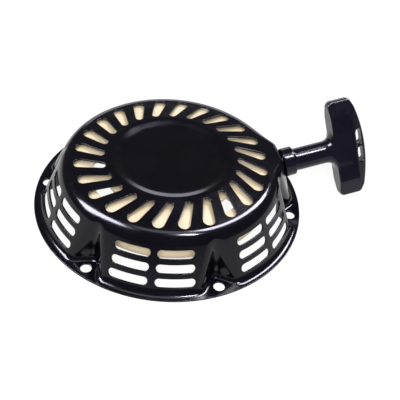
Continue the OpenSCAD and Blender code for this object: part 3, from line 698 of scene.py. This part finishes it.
def build_case():
    """Both faces of the sheet over the skin's places, joined by rounded edges round holes and flange."""
    holes = case_holes()
    az, v = skin_grid()
    plan = on_plan(az, v)
    loops = [hole(EDGE_ROUND) for hole in holes]
    edge_az = np.linspace(0, 2 * math.pi, EDGE_STEPS, endpoint=False)
    keep = np.ones(len(az), bool)
    for loop in loops:
        keep &= ~inside_outline(plan, on_plan(*loop))
    keep &= np.linalg.norm(plan, axis=1) < PLAN_RADII[-1] - 0.3
    loops.append((edge_az, np.full(EDGE_STEPS, 4.0)))
    all_az = np.concatenate([loop[0] for loop in loops] + [az[keep]])
    all_v = np.concatenate([loop[1] for loop in loops] + [v[keep]])
    starts = np.concatenate([[0], np.cumsum([len(loop[0]) for loop in loops])])
    edges, owner = [], np.full(len(all_az), -1)
    for i in range(len(loops)):
        n = starts[i + 1] - starts[i]
        edges += [(int(starts[i] + k), int(starts[i] + (k + 1) % n)) for k in range(n)]
        if i < len(holes):
            owner[starts[i]:starts[i + 1]] = i
    flat = [Vector(p) for p in on_plan(all_az, all_v)]
    found = delaunay_2d_cdt(flat, edges, [], 0, 1e-7)
    source = np.array([ids[0] if ids else -1 for ids in found[3]])
    triangles = source[np.array([f for f in found[2] if len(f) == 3])]
    kinds = owner[triangles]
    in_hole = (kinds[:, 0] >= 0) & (kinds[:, 0] == kinds[:, 1]) & (kinds[:, 1] == kinds[:, 2])
    triangles = triangles[~in_hole & (triangles >= 0).all(1)]
    points, normals = skin_and_normal(all_az, all_v)
    inner = points - SHEET * normals
    count = len(points)
    vertices, vertex_normals = [points, inner], [normals, -normals]
    faces = triangles.tolist() + (triangles[:, ::-1] + count).tolist()
    total = 2 * count
    steps = np.radians([30, 60, 90])
    levels = [(EDGE_ROUND * (1 - math.sin(a)), EDGE_ROUND * (1 - math.cos(a)), math.cos(a)) for a in steps]
    levels += [(grow, SHEET - depth, -up) for grow, depth, up in levels[::-1]]
    for i in range(len(loops)):
        n = int(starts[i + 1] - starts[i])
        previous = np.arange(n) + starts[i]
        if i < len(holes):
            inward = skin_and_normal(*holes[i](0))[0] - skin_and_normal(*holes[i](EDGE_ROUND))[0]
            inward /= np.linalg.norm(inward, axis=1)[:, None]
        else:
            inward = np.stack([np.cos(edge_az), np.sin(edge_az), 0 * edge_az], 1)
        for grow, depth, up in levels:
            if i < len(holes):
                p, normal = skin_and_normal(*holes[i](grow))
                p = p - depth * normal
            else:
                p = (FLANGE_R - grow) * inward + [0, 0, SHEET - depth]
                normal = np.tile([0.0, 0.0, 1.0], (n, 1))
            ring = np.arange(n) + total
            vertices.append(p)
            vertex_normals.append(up * normal + math.sqrt(1 - up * up) * inward)
            total += n
            faces += np.stack([previous, np.roll(previous, -1), np.roll(ring, -1), ring], 1).tolist()
            previous = ring
        ring = np.arange(n) + starts[i] + count
        faces += np.stack([previous, np.roll(previous, -1), np.roll(ring, -1), ring], 1).tolist()
    piece("case_shell", np.concatenate(vertices), faces, "case", PAINT, "case",
          normals=np.concatenate(vertex_normals))


build_case()


# ---------- the grip ----------

STEM_R, COLLAR_R = 9.4, 12.0
STEM_START, COLLAR_END = 0.6, 11.6
BAR_IN_X, BAR_RIDGE_X, BAR_OUT_X, BAR_END_X = 45.5, 62.5, 73.5, 64.5
BAR_HALF, BAR_FACE_HALF, BAR_HALF_THICK, PALM_HALF, BAR_TIP_HALF = 41.5, 28.0, 9.0, 3.0, 3.2
PALM_R = (BAR_HALF ** 2 + (BAR_OUT_X - BAR_END_X) ** 2) / (2 * (BAR_OUT_X - BAR_END_X))
WINDOW_X = (65.2, 70.8)
WINDOW_Z = (4.2, 11.2)
KNOT_X = 58.0


def grip_distance(x, y, z):
    """Distance outside the grip, in its own frame: X along the pull, Z along the bar."""
    thick, high = np.abs(y), np.abs(z)
    ridge = np.array([BAR_HALF_THICK - PALM_HALF, BAR_OUT_X - BAR_RIDGE_X])
    ridge = ridge / np.linalg.norm(ridge)
    bevel = np.array([BAR_HALF_THICK - BAR_TIP_HALF, BAR_HALF - BAR_FACE_HALF])
    bevel = bevel / np.linalg.norm(bevel)
    to_palm = (x - BAR_RIDGE_X) * ridge[0] + (thick - BAR_HALF_THICK) * ridge[1]
    to_end = (high - BAR_FACE_HALF) * bevel[0] + (thick - BAR_HALF_THICK) * bevel[1]
    slab = smooth_max(smooth_max(thick - BAR_HALF_THICK, to_palm, 0.9), to_end, 0.9)
    palm = np.hypot(x - (BAR_OUT_X - PALM_R), z) - PALM_R
    plan = rounded_corner(BAR_IN_X - x, high - BAR_HALF, 4.5, 0.0)
    plan = rounded_corner(plan, palm, 2.5, 0.2)
    bar = rounded_corner(plan, slab, 1.5, 0.1)
    round_r = np.hypot(y, z)
    stem = np.maximum(round_r - STEM_R, x - BAR_IN_X - 8)
    body = smooth_min(bar, stem, 9.0)
    body = smooth_max(body, thick - BAR_HALF_THICK - 0.5, 1.0)
    collar = rounded_corner(round_r - COLLAR_R, x - COLLAR_END + 1, 1.6, 0.0)
    body = smooth_min(body, collar, 1.2)
    body = rounded_corner(body, STEM_START - x, 1.0, 0.0)
    chamber = np.maximum(round_r - 7.0, np.abs(x - KNOT_X) - 8)
    recess = np.maximum(round_r - 7.6, x - STEM_START - 2.2)
    hollow = np.minimum(np.minimum(np.maximum(round_r - ROPE_R - 0.4, x - KNOT_X), chamber), recess)
    middle_x, radius = sum(WINDOW_X) / 2, (WINDOW_X[1] - WINDOW_X[0]) / 2
    window = np.hypot(x - middle_x, high - np.clip(high, WINDOW_Z[0], WINDOW_Z[1])) - radius
    return smooth_max(smooth_max(body, -hollow, 0.8), -window, 0.9)


def build_grip():
    points, quads = blob(grip_distance, (-1, -13.5, -43), (75.5, 13.5, 43), 0.65)
    normals = slope_at(points, grip_distance, 0.3) @ np.array(GRIP.to_3x3()).T
    normals /= np.linalg.norm(normals, axis=1)[:, None]
    piece("grip", moved(points, GRIP), quads, "handle", PLASTIC, "handle_grip",
          normals=normals)


build_grip()


# ---------- rope, knots and eyelet ----------

DRUM_ROPE_R, ROPE_PITCH = 73.0, 5.2
ROPE_LOW_Z = 28.4
LEAD_BEND_R, LEAD_BEND_BACK = 9.0, 10
ROPE_TAKE_OVER = 3.5
KNOT_ROPE_R = 2.2
REEL_KNOT_R = 60.6
REEL_KNOT_AZIMUTH = math.radians(-170)
COIL_START = PULL_AZIMUTH + math.radians(25)


def trefoil(centre, size, depth):
    """A closed loop of rope tied as a stop knot, about X."""
    t = np.linspace(0, 2 * math.pi, 150, endpoint=False)
    loop = np.stack([-depth * np.sin(3 * t), size * (np.sin(t) + 2 * np.sin(2 * t)),
                     size * (np.cos(t) - 2 * np.cos(2 * t))], 1)
    return loop + np.array(centre)


def build_handle_rope():
    """Straight rope from the outlet to the grip's knot. Its part in the outlet is cut into many close
    rings.
    """
    start, seat, end = -ROPE_TAKE_OVER, -0.5, KNOT_X - 3
    x = np.concatenate([np.linspace(start, seat, 320), np.linspace(seat, end, 40)[1:]])
    path = np.stack([x, 0 * x, 0 * x], 1)
    n, count = 20, len(x)
    turn = np.linspace(0, 2 * math.pi, n, endpoint=False)
    ring = ROPE_R * np.stack([0 * turn, np.cos(turn), np.sin(turn)], 1)
    points = (path[:, None] + ring[None]).reshape(-1, 3)
    faces = [[i * n + k, i * n + (k + 1) % n, (i + 1) * n + (k + 1) % n, (i + 1) * n + k]
             for i in range(count - 1) for k in range(n)]
    faces += [list(range(n)), [(count - 1) * n + k for k in range(n)]]
    rope = piece("pulled_rope", moved(points, GRIP), faces, None, PULLED_ROPE, "handle_rope")
    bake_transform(rope)


def laid_rope(name, path, body, node):
    points, faces, uv = tube(path, ROPE_R - 0.05, False)
    piece(name, points, faces, body, ROPE, node, uv)


def knot(name, loop, body, node, matrix):
    points, faces, uv = tube(loop, KNOT_ROPE_R, True)
    piece(name, moved(points, matrix), faces, body, ROPE, node, uv)


def lead_path():
    """The rope's way from the drum, off at a tangent, then round a bend into the eyelet."""
    corner = np.array([OUTLET_ALONG - LEAD_BEND_BACK, OUTLET_OFFSET])
    corner_z = OUTLET_Z - LEAD_BEND_BACK * math.sin(PULL_RISE)
    lead_r = DRUM_ROPE_R + 2 * ROPE_R + 0.4
    touch = math.atan2(corner[1], corner[0]) + math.acos(lead_r / np.linalg.norm(corner))
    first = lead_r * np.array([math.cos(touch), math.sin(touch)])
    heading = touch - math.pi / 2
    trim = LEAD_BEND_R * math.tan(-heading / 2)
    a = heading * (1 - np.linspace(0, 1, 14))
    bend = corner + [trim, 0] + LEAD_BEND_R * np.stack([np.sin(a), 1 - np.cos(a)], 1)
    bend_z = corner_z + np.maximum(0, bend[:, 0] - corner[0]) * math.tan(PULL_RISE)
    t = np.linspace(0, 1, 10)[:-1, None]
    run = mix(first, bend[0], t)
    run_z = mix(ROPE_LOW_Z, bend_z[0], t[:, 0])
    last_x = OUTLET_ALONG - ROPE_TAKE_OVER * math.cos(PULL_RISE)
    last = np.array([[last_x, OUTLET_OFFSET, OUTLET_Z - ROPE_TAKE_OVER * math.sin(PULL_RISE)]])
    path = np.concatenate([np.column_stack([run, run_z]), np.column_stack([bend, bend_z]), last])
    return moved(path, Matrix.Rotation(PULL_AZIMUTH, 4, "Z"))


def coil_path():
    """Three turns of rope on the drum: two side by side, then one over them."""
    turns = np.linspace(0, 3, 3 * 110)
    r = DRUM_ROPE_R + 0.05 + (2 * ROPE_R - 0.05) * smooth_step((turns - 1.95) / 0.12)
    z = ROPE_LOW_Z + ROPE_PITCH * smooth_step((turns - 0.93) / 0.14)
    a = COIL_START - 2 * math.pi * turns
    return np.stack([r * np.cos(a), r * np.sin(a), z], 1)


def build_ropes():
    build_handle_rope()
    laid_rope("lead_rope", lead_path(), "case", "rope_lead")
    laid_rope("rope_on_reel", coil_path(), "reel", "rope_coil")
    knot("tied_handle_knot", trefoil((KNOT_X + 0.6, 0, 0), 1.25, 2.1), "handle", "handle_knot", GRIP)
    in_reel = Matrix.Rotation(REEL_KNOT_AZIMUTH, 4, "Z") @ Matrix.Translation((REEL_KNOT_R, 0, ROPE_LOW_Z))
    knot("tied_reel_knot", trefoil((0, 0, 0), 1.2, 1.9), "reel", "reel_knot", in_reel)


build_ropes()


# ---------- carried-over CAD nodes ----------

DRESS_ANGLE = math.radians(35)


def dress(node, material, edge=0.25):
    """Gives a CAD node its material, and small rounded corners unless edge is 0."""
    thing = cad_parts[node]
    thing.data.materials.clear()
    thing.data.materials.append(material)
    if edge:
        weld = thing.modifiers.new("weld", "WELD")
        weld.merge_threshold = 0.00001
        bevel = thing.modifiers.new("bevel", "BEVEL")
        bevel.width = edge * MM
        bevel.segments = 2
        bevel.angle_limit = DRESS_ANGLE
    thing.data.shade_smooth()
    thing.data.set_sharp_from_angle(angle=DRESS_ANGLE)


for node_name in ("centre_post", "thrust_washer", "centre_screw", "pawl_a", "pawl_b", "knot_washer",
                  "rope_eyelet"):
    dress(node_name, ZINC)
dress("reel", REEL_NYLON, 0.4)
dress("ratchet_guide", GUIDE_NYLON, 0.3)
dress("reel_bush", BRONZE)
for node_name in ("spiral_spring", "pawl_spring_a", "pawl_spring_b", "friction_spring"):
    dress(node_name, SPRING_STEEL, 0)


# ---------- studio ----------

def build_camera():
    elevation, roll = math.radians(43.17), math.radians(6.51)
    aim_x, aim_y, away = -26.46, 0.27, 671.1
    right = Vector((1, 0, 0))
    up = Vector((0, math.sin(elevation), math.cos(elevation)))
    ahead = Vector((0, math.cos(elevation), -math.sin(elevation)))
    turned_right = right * math.cos(roll) + up * math.sin(roll)
    turned_up = up * math.cos(roll) - right * math.sin(roll)
    place_at = -(turned_right * aim_x + turned_up * aim_y + ahead * away) * MM
    data = bpy.data.cameras.new("camera")
    data.sensor_width, data.lens = 36, 72.3
    camera = bpy.data.objects.new("camera", data)
    bpy.context.scene.collection.objects.link(camera)
    axes = Matrix((turned_right, turned_up, -ahead)).transposed()
    camera.matrix_world = Matrix.Translation(place_at) @ axes.to_4x4()
    bpy.context.scene.camera = camera


def softbox(name, azimuth, elevation, distance, width, height, power, colour):
    """An area light that faces the origin, placed by angles in degrees and metres."""
    a, e = math.radians(azimuth), math.radians(elevation)
    data = bpy.data.lights.new(name, "AREA")
    data.shape, data.size, data.size_y = "RECTANGLE", width, height
    data.energy, data.color = power, colour
    light = bpy.data.objects.new(name, data)
    bpy.context.scene.collection.objects.link(light)
    light.location = distance * Vector((math.cos(a) * math.cos(e), math.sin(a) * math.cos(e), math.sin(e)))
    light.rotation_euler = light.location.to_track_quat("Z", "Y").to_euler()
    return light


FLOOR_REACH = 6.0
FLOOR_DROP = 0.0003
REFLECTION_TINT, SIDE_TINT, WHITE = (0.88, 0.86, 1.0), (0.9, 0.89, 1.0), (1, 1, 1)


def build_floor():
    """A pale floor that glows a little, so that it shows white through the slots."""
    mesh = bpy.data.meshes.new("floor")
    corners = [(x * FLOOR_REACH, y * FLOOR_REACH, 0) for x, y in ((-1, -1), (1, -1), (1, 1), (-1, 1))]
    mesh.from_pydata(corners, [], [(0, 1, 2, 3)])
    floor = bpy.data.objects.new("floor", mesh)
    floor.location.z = -FLOOR_DROP
    bpy.context.scene.collection.objects.link(floor)
    material, tree, main = shader("floor_white", Roughness=0.9, Specular_IOR_Level=0.0,
                                  Emission_Strength=0.9)
    tree.links.new(ramp(tree, noise(tree, 3, 2), [(0.3, 0.10), (0.7, 0.11)]), main.inputs["Base Color"])
    main.inputs["Emission Color"].default_value = (1, 1, 1, 1)
    mesh.materials.append(material)


def build_lights():
    """The left and right boxes only draw highlights, and the front fill gives only plain light."""
    world = bpy.data.worlds.new("studio")
    bpy.context.scene.world = world
    world.use_nodes = True
    world.node_tree.nodes["Background"].inputs["Color"].default_value = (0.90, 0.90, 1.0, 1)
    world.node_tree.nodes["Background"].inputs["Strength"].default_value = 0.17
    left = softbox("left_box", 182, 51, 1.6, 0.42, 1.1, 80, REFLECTION_TINT)
    right = softbox("right_box", 45, 57, 1.6, 0.36, 1.0, 62, REFLECTION_TINT)
    left.visible_diffuse = False
    right.visible_diffuse = False
    softbox("back_box", 90, 12, 1.8, 1.8, 0.25, 5, SIDE_TINT)
    softbox("top_box", 90, 82, 1.6, 0.7, 0.5, 4, SIDE_TINT)
    softbox("stem_box", -30, 76, 1.6, 0.08, 0.3, 18, SIDE_TINT)
    fill = softbox("front_fill", -89, 48, 2.2, 1.4, 1.2, 90, WHITE)
    fill.visible_glossy = False
    bpy.context.scene.view_settings.view_transform = "Standard"


build_camera()
build_floor()
build_lights()
